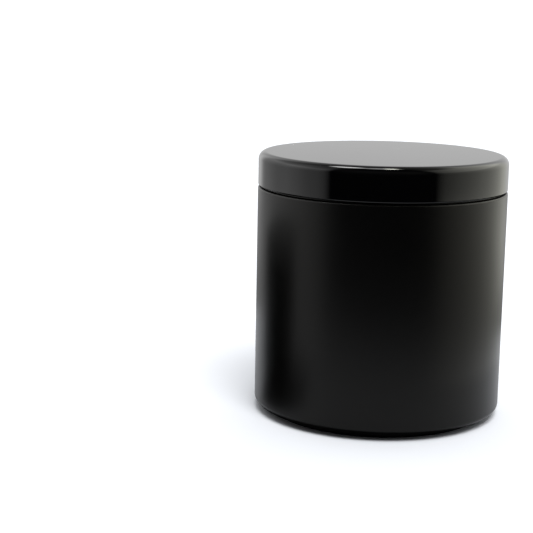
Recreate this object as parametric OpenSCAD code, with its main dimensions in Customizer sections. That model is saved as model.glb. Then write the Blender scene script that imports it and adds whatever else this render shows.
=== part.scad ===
// Seamless candle tin with a slip-on lid.
// The body and the lid are each drawn from one disc of lacquered sheet steel. Both cut edges are curled inwards.
// The origin is the centre of the base, on the surface that the tin stands on, and +Z points up.

/* [Tin] */
// Outside diameter of the body
body_d = 80; // [60:1:100]
// Overall height with the lid on
tin_h = 84.2; // [60:0.2:110]
// Thickness of the sheet
sheet = 0.3; // [0.2:0.05:0.4]
// Radius on the inside of a tight bend in the sheet
bend_r = 0.3; // [0.2:0.05:0.5]

/* [Body] */
// Radius of the corner between the wall and the base
base_corner_r = 2; // [1.2:0.1:4]
// Radius of the shoulder's edge
shoulder_r = 0.6; // [0.5:0.05:1.2]
// Diameter of the curl on the rim
rim_curl_d = 2; // [1.4:0.1:2.4]
// Outside diameter of the pressed bead that the tin stands on
foot_d = 70; // [50:1:72]
// Width of that bead
foot_w = 3; // [2:0.1:5]
// Height of the base above the surface that the bead stands on
foot_h = 2; // [1:0.1:3]

/* [Lid] */
// Height of the lid from its edge to its top
lid_h = 10.8; // [9:0.1:16]
// Radius of the corner between the lid's top and its skirt
lid_corner_r = 2.5; // [1:0.1:4]
// Diameter of the curl on the lid's edge
lid_curl_d = 1; // [1:0.05:1.6]
// How far the lid's skirt stands in from the body's wall
lid_set_in = 0.05; // [0:0.05:0.3]

/* [Fit] */
// Open gap between the lid's edge and the shoulder
shoulder_gap = 0.5; // [0.4:0.1:1.5]
// Clearance all round between the lid's curl and the neck
slip_clearance = 0.2; // [0.1:0.05:0.3]
// Clearance between the lid's top panel and the rim
rim_clearance = 0.15; // [0.05:0.05:0.3]

/* [Hidden] */

// Flat steps in a full turn of the tin, and in a full turn of a bend
TURN_STEPS = 180;
BEND_STEPS = 48;

// Body
body_r = body_d / 2;
lid_r = body_r - lid_set_in;
neck_r = lid_r - lid_curl_d - slip_clearance;
lid_edge_h = tin_h - lid_h;
shoulder_h = lid_edge_h - shoulder_gap;
rim_h = tin_h - sheet - rim_clearance;
foot_mid_r = foot_d / 2 - foot_w / 2;

// Centres of the two curls, across and up
rim_curl = [neck_r - rim_curl_d / 2, rim_h - rim_curl_d / 2];
lid_curl = [lid_r - lid_curl_d / 2, lid_edge_h + lid_curl_d / 2];

// The outlines below are half sections: x is the radius and y is the height.
// Each is drawn at a depth into the sheet, 0 for its outer face and the sheet's thickness for its inner face.

// A block from the axis out to r and from z0 up to z1, with its outer corners rounded
module block(r, z0, z1, low_r, high_r) {
    half_h = (z1 - z0) / 2;
    translate([0, z0]) square([r - low_r, half_h]);
    translate([0, z0 + half_h]) square([r - high_r, half_h]);
    translate([0, z0 + low_r]) square([r, z1 - z0 - low_r - high_r]);
    if (low_r > 0) translate([r - low_r, z0 + low_r]) circle(low_r, $fn = BEND_STEPS);
    if (high_r > 0) translate([r - high_r, z1 - high_r]) circle(high_r, $fn = BEND_STEPS);
}

// What rounds off the corner at (x, z) with a hollow of radius r, to the right of a wall and above a floor
module hollow_corner(x, z, r) {
    difference() {
        translate([x - r, z - r]) square(2 * r);
        translate([x + r, z + r]) circle(r, $fn = BEND_STEPS);
    }
}

// The bead under the base, as two halves back to back
module foot_outline(depth) {
    half_w = foot_w / 2 - depth;
    low_r = bend_r + sheet - depth;
    for (side = [0, 1]) translate([foot_mid_r, depth]) mirror([side, 0]) {
        square([half_w - low_r, foot_h]);
        translate([0, low_r]) square([half_w, foot_h - low_r + sheet]);
        translate([half_w - low_r, low_r]) circle(low_r, $fn = BEND_STEPS);
        translate([half_w, foot_h]) mirror([0, 1]) hollow_corner(0, 0, bend_r + depth);
    }
}

// The filled shape of the body, up to the centre of its rim curl
module body_outline(depth) {
    block(body_r - depth, foot_h + depth, shoulder_h - depth, base_corner_r - depth, shoulder_r - depth);
    translate([0, shoulder_h / 2]) square([neck_r - depth, rim_curl.y + depth - shoulder_h / 2]);
    hollow_corner(neck_r - depth, shoulder_h - depth, bend_r + depth);
    foot_outline(depth);
}

// The filled shape of the lid, down to the centre of its edge curl
module lid_outline(depth) {
    block(lid_r - depth, lid_curl.y - depth, tin_h - depth, 0, lid_corner_r - depth);
}

// A curl of diameter d that leaves the wall at its centre's height and stops a little short of it again.
// It runs over the top of a wall that comes from below (side -1), or under one that comes from above (side 1).
module curl(centre, d, side) {
    slit = sheet / 2;
    translate(centre) difference() {
        circle(d / 2, $fn = BEND_STEPS);
        circle(d / 2 - sheet, $fn = BEND_STEPS);
        translate([d / 2 - sheet - slit, side > 0 ? 0 : -d]) square(d);
    }
}

// One drawn piece: base with its standing bead, rounded base corner, wall, shoulder, neck and curled rim
module tin_body() {
    color("#161617") rotate_extrude($fn = TURN_STEPS) {
        difference() {
            body_outline(0);
            body_outline(sheet);
        }
        curl(rim_curl, rim_curl_d, -1);
    }
}

// One drawn piece: flat top, rounded corner, skirt and curled edge
module lid() {
    color("#0b0b0c") rotate_extrude($fn = TURN_STEPS) {
        difference() {
            lid_outline(0);
            lid_outline(sheet);
        }
        curl(lid_curl, lid_curl_d, 1);
    }
}

tin_body();
lid();
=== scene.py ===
"""Looks for the candle tin: two lathed sheet-metal shells, their lacquers, and a small photo studio.

Lengths are in metres, in the row frame: the tin stands on z = 0 with its axis on +Z.
The camera is towards -Y.
"""

import math

import bpy
from mathutils import Matrix, Vector


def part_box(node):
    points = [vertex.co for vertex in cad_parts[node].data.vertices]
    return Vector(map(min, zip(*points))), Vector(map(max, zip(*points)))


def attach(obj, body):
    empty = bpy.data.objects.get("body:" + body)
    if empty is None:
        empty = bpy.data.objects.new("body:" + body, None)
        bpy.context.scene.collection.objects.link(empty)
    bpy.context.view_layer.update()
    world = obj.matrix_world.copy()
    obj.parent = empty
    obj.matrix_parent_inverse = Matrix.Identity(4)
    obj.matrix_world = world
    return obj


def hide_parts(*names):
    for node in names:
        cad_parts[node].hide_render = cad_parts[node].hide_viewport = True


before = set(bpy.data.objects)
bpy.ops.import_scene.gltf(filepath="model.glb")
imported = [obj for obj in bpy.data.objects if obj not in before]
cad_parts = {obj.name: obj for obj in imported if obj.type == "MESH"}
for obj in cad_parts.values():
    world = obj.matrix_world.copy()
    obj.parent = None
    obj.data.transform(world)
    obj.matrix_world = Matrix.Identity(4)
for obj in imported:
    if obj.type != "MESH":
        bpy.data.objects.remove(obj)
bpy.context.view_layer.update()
MM = 0.001

# ---------------------------------------------------------------- sizes

# Sheet and bends, as in the CAD model
SHEET = 0.3 * MM
BEND_R = 0.3 * MM
BASE_CORNER_R = 2.0 * MM
SHOULDER_R = 0.6 * MM
RIM_CURL_D = 2.0 * MM
FOOT_R = 35.0 * MM
FOOT_W = 3.0 * MM
FOOT_H = 2.0 * MM
LID_CORNER_R = 2.5 * MM
LID_CURL_D = 1.0 * MM
SHOULDER_GAP = 0.5 * MM
SLIP_CLEARANCE = 0.2 * MM

# Outer sizes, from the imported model
body_low, body_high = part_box("tin_body")
lid_low, lid_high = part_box("lid")
BODY_R = body_high.x
LID_R = lid_high.x
RIM_Z = body_high.z
LID_EDGE_Z = lid_low.z
TOP_Z = lid_high.z
NECK_R = LID_R - LID_CURL_D - SLIP_CLEARANCE
SHOULDER_Z = LID_EDGE_Z - SHOULDER_GAP

# ---------------------------------------------------------------- lathed sheet metal

TURN_STEPS = 192
ON_AXIS = 1e-9
OUTSIDE, INSIDE, CUT_EDGE = range(3)


class SheetPath:
    """The middle line of a sheet, drawn from the axis in the (radius, height) plane by runs and bends."""

    def __init__(self, r, z, degrees):
        self.at = Vector((r, z))
        self.heading = math.radians(degrees)
        self.points = []
        self.mark()

    def mark(self):
        self.points.append((self.at.copy(), self.heading))

    def run(self, length, steps=1):
        """Goes straight on."""
        ahead = Vector((math.cos(self.heading), math.sin(self.heading)))
        for _ in range(steps):
            self.at = self.at + ahead * (length / steps)
            self.mark()

    def bend(self, radius, degrees, step=9):
        """Turns along an arc, to the left for a positive angle, in steps of about so many degrees."""
        turn = math.radians(degrees)
        side = math.copysign(1, turn)
        steps = math.ceil(abs(degrees) / step)
        to_centre = self.heading + side * math.pi / 2
        centre = self.at + radius * Vector((math.cos(to_centre), math.sin(to_centre)))
        for _ in range(steps):
            self.heading += turn / steps
            from_centre = self.heading - side * math.pi / 2
            self.at = centre + radius * Vector((math.cos(from_centre), math.sin(from_centre)))
            self.mark()


def curl_angle(diameter):
    """How far a curl turns before its cut edge comes close to the wall it started from."""
    slit = SHEET / 2
    reach = diameter / 2 - SHEET - slit
    return 360 - math.degrees(math.acos(reach / (diameter / 2 - SHEET / 2)))


def body_path():
    """Base, standing bead, base, corner, wall, shoulder, neck and rim curl."""
    half = SHEET / 2
    path = SheetPath(0, FOOT_H + half, 0)
    path.run(FOOT_R - FOOT_W - BEND_R, 6)
    path.bend(BEND_R + half, -90)
    path.run(FOOT_H - 2 * BEND_R - SHEET)
    path.bend(BEND_R + half, 90)
    path.run(FOOT_W - 2 * (BEND_R + SHEET))
    path.bend(BEND_R + half, 90)
    path.run(FOOT_H - 2 * BEND_R - SHEET)
    path.bend(BEND_R + half, -90)
    path.run(BODY_R - BASE_CORNER_R - FOOT_R - BEND_R)
    path.bend(BASE_CORNER_R - half, 90, 6)
    path.run(SHOULDER_Z - SHOULDER_R - FOOT_H - BASE_CORNER_R, 12)
    path.bend(SHOULDER_R - half, 90, 7.5)
    path.run(BODY_R - SHOULDER_R - NECK_R - BEND_R)
    path.bend(BEND_R + half, -90)
    path.run(RIM_Z - RIM_CURL_D / 2 - SHOULDER_Z - BEND_R, 3)
    path.bend(RIM_CURL_D / 2 - half, curl_angle(RIM_CURL_D))
    return path


def lid_path():
    """Top, corner, skirt and edge curl."""
    half = SHEET / 2
    path = SheetPath(0, TOP_Z - half, 0)
    path.run(LID_R - LID_CORNER_R, 6)
    path.bend(LID_CORNER_R - half, -90, 5)
    path.run(TOP_Z - LID_CORNER_R - LID_EDGE_Z - LID_CURL_D / 2, 2)
    path.bend(LID_CURL_D / 2 - half, -curl_angle(LID_CURL_D))
    return path


def face_line(path, side):
    """One face of the sheet, as points and normals in the path's plane. side is 1 for left, -1 for right."""
    line = []
    for at, heading in path.points:
        normal = Vector((-math.sin(heading), math.cos(heading))) * side
        line.append((at + normal * SHEET / 2, normal))
    return line


class TurnedMesh:
    """Collects what the lathe makes: vertices, faces, their materials and the normals of their corners."""

    def __init__(self):
        angles = [2 * math.pi * i / TURN_STEPS for i in range(TURN_STEPS)]
        self.turns = [(math.cos(a), math.sin(a)) for a in angles]
        self.verts = []
        self.faces = []
        self.slots = []
        self.normals = []

    def ring(self, at):
        """The vertices of one point of the path, all the way round. On the axis they are one vertex."""
        first = len(self.verts)
        if at.x < ON_AXIS:
            self.verts.append((0, 0, at.y))
            return [first] * TURN_STEPS
        self.verts.extend((at.x * c, at.x * s, at.y) for c, s in self.turns)
        return list(range(first, first + TURN_STEPS))

    def face(self, corners, slot):
        """corners is a list of (vertex, normal in the plane of the path, step of the turn)."""
        kept = []
        for corner in corners:
            if all(corner[0] != vertex for vertex, _, _ in kept):
                kept.append(corner)
        self.faces.append([vertex for vertex, _, _ in kept])
        self.slots.append(slot)
        for _, normal, step in kept:
            c, s = self.turns[step % TURN_STEPS]
            self.normals.append((normal.x * c, normal.x * s, normal.y))

    def band(self, ring_a, normal_a, ring_b, normal_b, slot, flip):
        """The faces between two rings."""
        for i in range(TURN_STEPS):
            j = (i + 1) % TURN_STEPS
            quad = [(ring_a[i], normal_a, i), (ring_b[i], normal_b, i)]
            quad += [(ring_b[j], normal_b, j), (ring_a[j], normal_a, j)]
            self.face(quad[::-1] if flip else quad, slot)

    def build(self, name, materials):
        mesh = bpy.data.meshes.new(name)
        mesh.from_pydata(self.verts, [], self.faces)
        for material in materials:
            mesh.materials.append(material)
        mesh.polygons.foreach_set("material_index", self.slots)
        mesh.polygons.foreach_set("use_smooth", [True] * len(self.faces))
        mesh.normals_split_custom_set(self.normals)
        mesh.update()
        piece = bpy.data.objects.new(name, mesh)
        bpy.context.scene.collection.objects.link(piece)
        return piece


def lathe(name, path, outside, materials):
    """Turns a sheet path round the axis. outside is the side that shows: 1 for its left, -1 for its right."""
    made = TurnedMesh()
    skins = [(OUTSIDE, face_line(path, outside)), (INSIDE, face_line(path, -outside))]
    rings = [[made.ring(at) for at, _ in line] for _, line in skins]
    for (slot, line), skin, flip in zip(skins, rings, (outside < 0, outside > 0)):
        for k in range(len(line) - 1):
            made.band(skin[k], line[k][1], skin[k + 1], line[k + 1][1], slot, flip)
    _, heading = path.points[-1]
    ahead = Vector((math.cos(heading), math.sin(heading)))
    made.band(rings[0][-1], ahead, rings[1][-1], ahead, CUT_EDGE, outside < 0)
    return made.build(name, materials)


# ---------------------------------------------------------------- materials


class Tree:
    """A short way to write shader nodes."""

    def __init__(self, tree):
        self.tree = tree

    def new(self, kind, **inputs):
        node = self.tree.nodes.new("ShaderNode" + kind)
        for name, value in inputs.items():
            self.put(node, name.replace("_", " "), value)
        return node

    def put(self, node, socket, value):
        if isinstance(value, bpy.types.NodeSocket):
            self.tree.links.new(value, node.inputs[socket])
        else:
            node.inputs[socket].default_value = value

    def math(self, operation, a, b=0.0, c=0.0):
        node = self.new("Math")
        node.operation = operation
        for socket, value in enumerate((a, b, c)):
            self.put(node, socket, value)
        return node.outputs[0]

    def mix(self, share, a, b):
        """Goes from colour a to colour b."""
        node = self.new("Mix")
        node.data_type = "RGBA"
        self.put(node, 0, share)
        self.put(node, "A", a)
        self.put(node, "B", b)
        return node.outputs["Result"]


class Paint(Tree):
    """A material. Noise scales are in cells per metre, and bump distances in metres."""

    def __init__(self, name):
        self.material = bpy.data.materials.new(name)
        self.material.use_nodes = True
        super().__init__(self.material.node_tree)
        self.shader = self.tree.nodes["Principled BSDF"]
        self.place = self.new("TexCoord").outputs["Object"]

    def spread(self, value, low, high):
        """Maps a value from 0..1 to low..high."""
        return self.new("MapRange", Value=value, To_Min=low, To_Max=high).outputs["Result"]

    def stretched(self, x, y, z):
        return self.new("Mapping", Vector=self.place, Scale=(x, y, z)).outputs["Vector"]

    def noise(self, scale, detail, place=None, roughness=0.5):
        vector = place or self.place
        node = self.new("TexNoise", Vector=vector, Scale=scale, Detail=detail, Roughness=roughness)
        return node.outputs["Fac"]

    def bump(self, height, distance):
        self.set(Normal=self.new("Bump", Height=height, Distance=distance, Strength=1.0).outputs["Normal"])

    def set(self, **values):
        for name, value in values.items():
            self.put(self.shader, name.replace("_", " "), value)


def satin_lacquer():
    """Black satin stoving lacquer: a fine orange peel with slow changes of sheen."""
    m = Paint("satin_black_lacquer")
    clouds = m.noise(60, 3)
    grain = m.noise(2600, 2)
    sheen = m.math("ADD", m.spread(clouds, -0.02, 0.02), m.spread(grain, 0.31, 0.37))
    tone = m.mix(clouds, (0.0002, 0.0002, 0.0002, 1), (0.0005, 0.0005, 0.0005, 1))
    m.set(Base_Color=tone, Roughness=sheen)
    m.set(Specular_IOR_Level=0.165, Specular_Tint=(1.0, 0.985, 0.955, 1))
    m.bump(m.noise(1400, 2), 0.002 * MM)
    return m.material


def gloss_lacquer():
    """Black gloss lacquer: near-mirror, with a slow waviness and a trace of handling haze."""
    m = Paint("gloss_black_lacquer")
    haze = m.noise(90, 4, roughness=0.6)
    m.set(Base_Color=(0.0006, 0.0006, 0.0007, 1), Roughness=m.spread(haze, 0.05, 0.085))
    m.set(Specular_IOR_Level=0.25)
    m.bump(m.noise(220, 1), 0.004 * MM)
    return m.material


def tinplate():
    """Bright tinplate under clear lacquer: long fine draw lines and a soft mottle."""
    m = Paint("lacquered_tinplate")
    lines = m.noise(1500, 3, m.stretched(1, 1, 0.003))
    tone = m.mix(m.noise(140, 3), (0.66, 0.65, 0.62, 1), (0.75, 0.74, 0.71, 1))
    m.set(Base_Color=tone, Metallic=1.0, Roughness=m.spread(lines, 0.25, 0.31))
    m.set(Coat_Weight=0.4, Coat_Roughness=0.12)
    m.bump(lines, 0.0006 * MM)
    return m.material


def bare_steel():
    """The sheared edge of the sheet, tucked inside the curls."""
    m = Paint("sheared_steel")
    m.set(Base_Color=(0.42, 0.42, 0.43, 1), Metallic=1.0, Roughness=m.spread(m.noise(4000, 2), 0.35, 0.55))
    return m.material


def matt(name, grey):
    """Paper and card, with no sheen at all."""
    m = Paint(name)
    m.set(Base_Color=(grey, grey, grey, 1), Roughness=1.0, Specular_IOR_Level=0.0)
    return m.material


# ---------------------------------------------------------------- the two pieces

plate = tinplate()
sheared = bare_steel()

body = lathe("tin_body_shell", body_path(), -1, [satin_lacquer(), plate, sheared])
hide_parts("tin_body")
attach(body, "tin_body")

cover = lathe("lid_shell", lid_path(), 1, [gloss_lacquer(), plate, sheared])
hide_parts("lid")
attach(cover, "lid")

# ---------------------------------------------------------------- camera

# The photo's viewpoint, in body radii from the foot of the tin's axis: fitted to the tin's outline in the photo,
# then nudged.
CAMERA_BACK = 11.063
CAMERA_LEFT = 0.9200
CAMERA_UP = 3.296
PITCH_DOWN = math.radians(10.941)
ROLL = math.radians(1.015)
# The focal length, in widths of the picture
FOCAL_WIDTHS = 2.596


def camera():
    data = bpy.data.cameras.new("camera")
    data.sensor_width = 36.0
    data.lens = FOCAL_WIDTHS * data.sensor_width
    data.clip_start = 0.01
    cam = bpy.data.objects.new("camera", data)
    bpy.context.scene.collection.objects.link(cam)
    place = Vector((-CAMERA_LEFT, -CAMERA_BACK, CAMERA_UP)) * BODY_R
    turn = Matrix.Rotation(math.pi / 2 - PITCH_DOWN, 4, "X") @ Matrix.Rotation(ROLL, 4, "Z")
    cam.matrix_world = Matrix.Translation(place) @ turn
    bpy.context.scene.camera = cam


# ---------------------------------------------------------------- paper, a card and painted shadows

FLOOR_AT = (-0.02, 0)
NEAR_FLOOR_R = 0.15
FLOOR_R = 6.0
FLOOR_GREY = 0.9

# The black card to the left, and at its foot a black skirt on the floor: painted shadow of the paper between the
# card and the tin. Both show only in reflections.
CARD_AT = (-2.172 * BODY_R, -0.1 * BODY_R)
CARD_R = 0.667 * BODY_R
CARD_LOW = 0.5 * MM
CARD_HIGH = 1.31 * BODY_R
PAINTED_GAP_SHADOW_AT = (-2.0 * BODY_R, -0.45 * BODY_R)
PAINTED_GAP_SHADOW_R = 0.86 * BODY_R
PAINTED_GAP_SHADOW_Z = 0.3 * MM
CARD_AND_PAINTED_SHADOW_GREY = 0.004

# A black disc on the floor under the tin's front edge, seen only in reflections: painted shadow of the floor
# round the tin's base
PAINTED_BASE_SHADOW_AT = (-0.05 * BODY_R, -0.125 * BODY_R)
PAINTED_BASE_SHADOW_R = 0.95 * BODY_R
PAINTED_BASE_SHADOW_Z = 0.2 * MM
PAINTED_BASE_SHADOW_GREY = 0.03


def circle(at, r, z, steps):
    turns = [2 * math.pi * i / steps for i in range(steps)]
    return [(at[0] + r * math.cos(a), at[1] + r * math.sin(a), z) for a in turns]


def bands(rings, steps):
    """The faces between circles that follow each other in a list of vertices."""
    faces = []
    for low in range(0, (rings - 1) * steps, steps):
        high = low + steps
        faces += [(low + i, low + (i + 1) % steps, high + (i + 1) % steps, high + i) for i in range(steps)]
    return faces


def stage_mesh(name, verts, faces, material):
    mesh = bpy.data.meshes.new(name)
    mesh.from_pydata(verts, [], faces)
    mesh.materials.append(material)
    obj = bpy.data.objects.new(name, mesh)
    bpy.context.scene.collection.objects.link(obj)
    return obj


def disc(name, at, r, z, material, steps=96):
    return stage_mesh(name, circle(at, r, z, steps), [list(range(steps))], material)


def show_in_reflections_only(obj):
    obj.visible_camera = False
    obj.visible_diffuse = False
    obj.visible_shadow = False


def floor(steps=96):
    """White paper. Only the sheet close to the tin shows in the tin's own reflections."""
    white = matt("white_paper", FLOOR_GREY)
    disc("floor_near", FLOOR_AT, NEAR_FLOOR_R, 0, white)
    verts = circle(FLOOR_AT, NEAR_FLOOR_R, 0, steps) + circle(FLOOR_AT, FLOOR_R, 0, steps)
    far = stage_mesh("floor_far", verts, bands(2, steps), white)
    far.visible_glossy = False


def card_and_painted_gap_shadow(steps=48):
    """A black card to the left, seen only in the tin's side, where a smaller tin stood, with a black skirt at
    its foot that is painted shadow on the floor between the tins.
    """
    # The band from this first circle to the card's foot is the black skirt on the floor: painted shadow.
    verts = circle(PAINTED_GAP_SHADOW_AT, PAINTED_GAP_SHADOW_R, PAINTED_GAP_SHADOW_Z, steps)
    verts += circle(CARD_AT, CARD_R, CARD_LOW, steps)
    verts += circle(CARD_AT, CARD_R, CARD_HIGH, steps)
    top = list(range(2 * steps, 3 * steps))
    card = stage_mesh("reflected_card_and_painted_shadow", verts, bands(3, steps) + [top], matt("card_and_painted_shadow", CARD_AND_PAINTED_SHADOW_GREY))
    show_in_reflections_only(card)


def painted_base_shadow():
    """A black disc on the floor under the front edge, seen only in the tin's base corner: painted shadow of the
    floor round the base.
    """
    strip = disc("reflected_base_shadow", PAINTED_BASE_SHADOW_AT, PAINTED_BASE_SHADOW_R, PAINTED_BASE_SHADOW_Z, matt("painted_base_shadow_black", PAINTED_BASE_SHADOW_GREY))
    show_in_reflections_only(strip)


# ---------------------------------------------------------------- studio light

COOL_WHITE = (0.93, 0.955, 1.0, 1)
NEUTRAL = (1.0, 1.0, 1.0, 1)
WARM_WHITE = (1.0, 1.0, 0.9, 1)
BACKDROP_LEVEL = 1.35
FILL_ABOVE = 0.95
FILL_RIGHT = 0.4
FILL_BEHIND = 1.1
KEY_ENERGY = 2.35
KEY_ANGLE = math.radians(32)
KEY_TOWARDS = (0.14, -0.62, 1.0)

# What the tin mirrors: the walls' brightness by bearing, set over many renders until the tin's greys
# came close to those measured in the photo.
# A bearing is in degrees: 0 is the front (-Y), and the right is positive.
WALL_TOP = 1.7
WALLS = [
    (-180, 0.83), (-168, 0.92), (-159, 1.45), (-153, 1.4), (-147, 0.9), (-140, 0.76),
    (-116, 1.09), (-101, 1.54), (-88, 1.5), (-76, 1.22), (-65, 1.09), (-58.5, 0.77), (-52, 0.0),
    (44, 0.0), (49, 0.35), (54, 0.66), (71, 1.15), (83, 1.41), (96, 1.63), (112, 1.66),
    (133, 1.6), (148, 1.34), (168, 0.84), (180, 0.83),
]
# How that changes with height, in degrees above the horizon, for each side and the back.
# The dim front has its own glow.
RISE_TOP = 4.0
LEFT_RISE = [
    (-14, 0.5), (-11.4, 1.2), (-9.6, 2.0), (-8.4, 1.1), (-7, 1.0), (0, 1.1),
    (15, 1.5), (26, 2.1), (36, 1.3), (53, 0.65), (65, 0.3), (90, 0.1),
]
RIGHT_RISE = [
    (-14, 0.0), (-11.4, 0.0), (-10.6, 1.4), (-9.6, 3.9), (-8.4, 1.7), (-7.7, 1.05), (0, 1.15),
    (17, 1.4), (26, 2.3), (40, 2.1), (52, 1.8), (62, 0.3), (90, 0.05),
]
BACK_RISE = [(-14, 0.2), (-8, 0.75), (0, 0.95), (7, 1.0), (30, 1.0), (45, 0.7), (60, 0.35), (90, 0.1)]
FRONT_GLOW = [(0, 0.0), (9, 0.02), (18, 0.1), (35, 0.13), (50, 0.05), (65, 0.0)]
# Shares of the sides and of the front, by bearing as a fraction of a turn that starts at the back, going left
SIDES_SHARE = [(0.0, 0.0), (0.07, 0.0), (0.12, 1.0), (0.88, 1.0), (0.93, 0.0), (1.0, 0.0)]
FRONT_SHARE = [(0.0, 0.0), (0.33, 0.0), (0.4, 1.0), (0.58, 1.0), (0.65, 0.0), (1.0, 0.0)]
# Overhead lamps: direction, spread in degrees and level
LAMPS = [
    ((-0.28, 0.08, 0.95), 7, 22.0),
    ((-0.02, -0.03, 1.0), 8, 8.0),
    ((0.07, -0.03, 1.0), 3, 50.0),
]
LAMP_EDGE = 1.5
LAMP_CORE = 0.5


class Sky(Tree):
    """The world's nodes, over the direction that a ray goes in."""

    def __init__(self, world):
        world.use_nodes = True
        super().__init__(world.node_tree)
        self.tree.nodes.clear()
        self.way = self.new("TexCoord").outputs["Generated"]
        self.x, self.y, self.z = self.new("SeparateXYZ", Vector=self.way).outputs
        # Bearing from -Y, positive towards +X, and height above the horizon, each from 0 to 1
        turn = self.math("ARCTAN2", self.x, self.math("MULTIPLY", self.y, -1.0))
        bearing = self.math("DIVIDE", turn, math.pi)
        height = self.math("DIVIDE", self.math("ARCSINE", self.z), math.pi / 2)
        self.around = self.math("MULTIPLY_ADD", bearing, 0.5, 0.5)
        self.height = self.math("MULTIPLY_ADD", height, 0.5, 0.5)

    def ramp(self, value, stops):
        node = self.new("ValToRGB", Fac=value)
        elements = node.color_ramp.elements
        while len(elements) < len(stops):
            elements.new(0.5)
        for element, (at, level) in zip(elements, stops):
            element.position = at
            element.color = (level, level, level, 1)
        return node.outputs["Color"]

    def by_angle(self, value, stops, full, top):
        """Stops are (degrees, level), with degrees up to full either way and levels up to top."""
        scaled = [((degrees / full) * 0.5 + 0.5, level / top) for degrees, level in stops]
        return self.ramp(value, scaled)

    def rise(self, stops):
        return self.by_angle(self.height, stops, 90, RISE_TOP)

    def blend(self, a, b, share):
        kept = self.math("MULTIPLY", a, self.math("SUBTRACT", 1.0, share))
        return self.math("ADD", kept, self.math("MULTIPLY", share, b))

    def lamp(self, direction, spread, level):
        """A soft disc of light about a direction."""
        dot = self.new("VectorMath")
        dot.operation = "DOT_PRODUCT"
        self.put(dot, 0, self.way)
        self.put(dot, 1, Vector(direction).normalized())
        lit = self.new("MapRange", Value=dot.outputs["Value"])
        lit.interpolation_type = "SMOOTHSTEP"
        self.put(lit, "From Min", math.cos(math.radians(spread * LAMP_EDGE)))
        self.put(lit, "From Max", math.cos(math.radians(spread * LAMP_CORE)))
        return self.math("MULTIPLY", lit.outputs["Result"], level)


def mirrored_studio(sky):
    """What the tin mirrors: two side softboxes, a pale back wall, overhead lamps and a dim front."""
    walls = sky.by_angle(sky.around, WALLS, 180, WALL_TOP)
    sideways = sky.ramp(sky.around, SIDES_SHARE)
    rightwards = sky.math("GREATER_THAN", sky.x, 0.0)
    sides = sky.blend(sky.rise(LEFT_RISE), sky.rise(RIGHT_RISE), rightwards)
    tall = sky.blend(sky.rise(BACK_RISE), sides, sideways)
    level = sky.math("MULTIPLY", sky.math("MULTIPLY", walls, tall), WALL_TOP * RISE_TOP)
    glow = sky.math("MULTIPLY", sky.ramp(sky.around, FRONT_SHARE), sky.rise(FRONT_GLOW))
    level = sky.math("ADD", level, sky.math("MULTIPLY", glow, RISE_TOP))
    for direction, spread, strength in LAMPS:
        level = sky.math("ADD", level, sky.lamp(direction, spread, strength))
    tint = sky.mix(sky.math("MULTIPLY", rightwards, sideways), NEUTRAL, WARM_WHITE)
    return sky.new("Background", Color=tint, Strength=level)


def soft_light(sky, is_camera):
    """A soft light on the paper from above, behind and the right, and an even white behind everything."""
    fill = sky.math("MULTIPLY", sky.math("MULTIPLY", sky.z, sky.z), FILL_ABOVE)
    fill = sky.math("ADD", fill, sky.math("MULTIPLY", sky.math("MAXIMUM", sky.x, 0.0), FILL_RIGHT))
    fill = sky.math("ADD", fill, sky.math("MULTIPLY", sky.math("MAXIMUM", sky.y, 0.0), FILL_BEHIND))
    return sky.new("Background", Color=COOL_WHITE, Strength=sky.blend(fill, BACKDROP_LEVEL, is_camera))


def studio_world():
    """The camera and the paper see the soft light. The tin's reflections see the studio."""
    world = bpy.data.worlds.new("studio")
    bpy.context.scene.world = world
    world.cycles.sampling_method = "NONE"
    sky = Sky(world)
    rays = sky.new("LightPath")
    is_camera = rays.outputs["Is Camera Ray"]
    sees_light = sky.math("MAXIMUM", is_camera, rays.outputs["Is Diffuse Ray"])
    mix = sky.new("MixShader")
    sky.put(mix, 0, sees_light)
    sky.put(mix, 1, mirrored_studio(sky).outputs[0])
    sky.put(mix, 2, soft_light(sky, is_camera).outputs[0])
    sky.new("OutputWorld", Surface=mix.outputs[0])


def key_light():
    """The lamp above the camera that lights the paper. The tin doesn't mirror it."""
    data = bpy.data.lights.new("key", "SUN")
    data.energy = KEY_ENERGY
    data.angle = KEY_ANGLE
    data.color = COOL_WHITE[:3]
    lamp = bpy.data.objects.new("key", data)
    bpy.context.scene.collection.objects.link(lamp)
    lamp.matrix_world = Vector(KEY_TOWARDS).to_track_quat("Z", "Y").to_matrix().to_4x4()
    lamp.visible_glossy = False


camera()
floor()
card_and_painted_gap_shadow()
painted_base_shadow()
studio_world()
key_light()
bpy.context.scene.view_settings.view_transform = "Standard"
